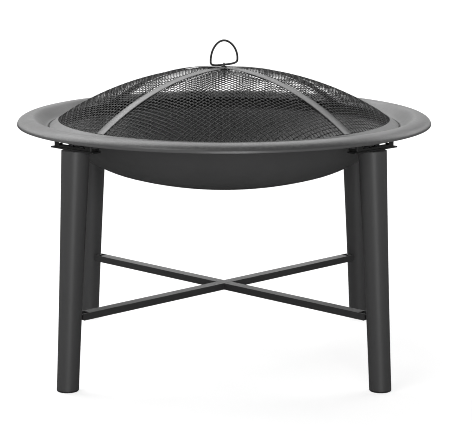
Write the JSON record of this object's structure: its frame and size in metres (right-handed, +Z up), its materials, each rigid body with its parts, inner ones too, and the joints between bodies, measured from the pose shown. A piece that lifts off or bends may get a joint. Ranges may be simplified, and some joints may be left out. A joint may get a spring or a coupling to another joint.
{
  "type": "fire pit",
  "caption": "Round wood-burning fire pit: a flared-rim steel bowl on tapered tube legs with crossed braces, under a domed mesh spark screen that lifts off by its wire bail",
  "frame": {"origin": "on the ground under the bowl's axis, the centre of the bottom of the bounding box", "axes": "+Z up; the picture looks along +Y from the front, with +X to the right; the legs stand at 45 degrees to X and Y"},
  "size_m": [0.762, 0.762, 0.5901],
  "materials": {
    "bowl": "satin black heat-resistant enamel on deep-drawn steel, with a grey sheen and light dust",
    "legs": "satin black powder coat on steel tube",
    "foot_caps": "moulded black plastic, fine matte grain",
    "brackets": "satin black powder coat on folded steel",
    "braces": "satin black powder coat on folded steel channel",
    "screws": "black-oxide steel fasteners",
    "nuts": "zinc-plated steel",
    "screen_frame": "satin dark grey heat-resistant paint on pressed sheet steel",
    "mesh": "black heat-resistant paint on steel mesh",
    "eye_and_bail": "black-coated steel wire and turned steel"
  },
  "bodies": {
    "stand": {"fire_bowl": "bowl", "leg_tube_back_right": "legs", "foot_cap_back_right": "foot_caps", "leg_top_plate_back_right": "brackets", "rim_bracket_back_right": "brackets", "brace_screw_back_right": "screws", "leg_insert_back_right": "nuts", "bracket_bolt_back_right_a": "screws", "bracket_nut_back_right_a": "nuts", "bracket_bolt_back_right_b": "screws", "bracket_nut_back_right_b": "nuts", "leg_tube_back_left": "legs", "foot_cap_back_left": "foot_caps", "leg_top_plate_back_left": "brackets", "rim_bracket_back_left": "brackets", "brace_screw_back_left": "screws", "leg_insert_back_left": "nuts", "bracket_bolt_back_left_a": "screws", "bracket_nut_back_left_a": "nuts", "bracket_bolt_back_left_b": "screws", "bracket_nut_back_left_b": "nuts", "leg_tube_front_left": "legs", "foot_cap_front_left": "foot_caps", "leg_top_plate_front_left": "brackets", "rim_bracket_front_left": "brackets", "brace_screw_front_left": "screws", "leg_insert_front_left": "nuts", "bracket_bolt_front_left_a": "screws", "bracket_nut_front_left_a": "nuts", "bracket_bolt_front_left_b": "screws", "bracket_nut_front_left_b": "nuts", "leg_tube_front_right": "legs", "foot_cap_front_right": "foot_caps", "leg_top_plate_front_right": "brackets", "rim_bracket_front_right": "brackets", "brace_screw_front_right": "screws", "leg_insert_front_right": "nuts", "bracket_bolt_front_right_a": "screws", "bracket_nut_front_right_a": "nuts", "bracket_bolt_front_right_b": "screws", "bracket_nut_front_right_b": "nuts", "cross_brace_over": "braces", "cross_brace_under": "braces"},
    "spark_screen": {"screen_ring": "screen_frame", "screen_strap_lower": "screen_frame", "screen_strap_upper": "screen_frame", "screen_mesh": "mesh", "eye_bolt": "eye_and_bail", "eye_bolt_washer": "eye_and_bail", "eye_bolt_nut": "eye_and_bail"},
    "bail": {"bail": "eye_and_bail"}
  },
  "joints": [
    {"name": "screen_lift", "type": "slide", "parent": "stand", "child": "spark_screen", "axis": [0, 0, 1], "range_m": [0, 0.25]},
    {"name": "bail_swing", "type": "hinge", "parent": "spark_screen", "child": "bail", "pos_m": [0, 0, 0.54362], "axis": [0.994, 0, 0.1093], "range_deg": [-91, 91]}
  ]
}
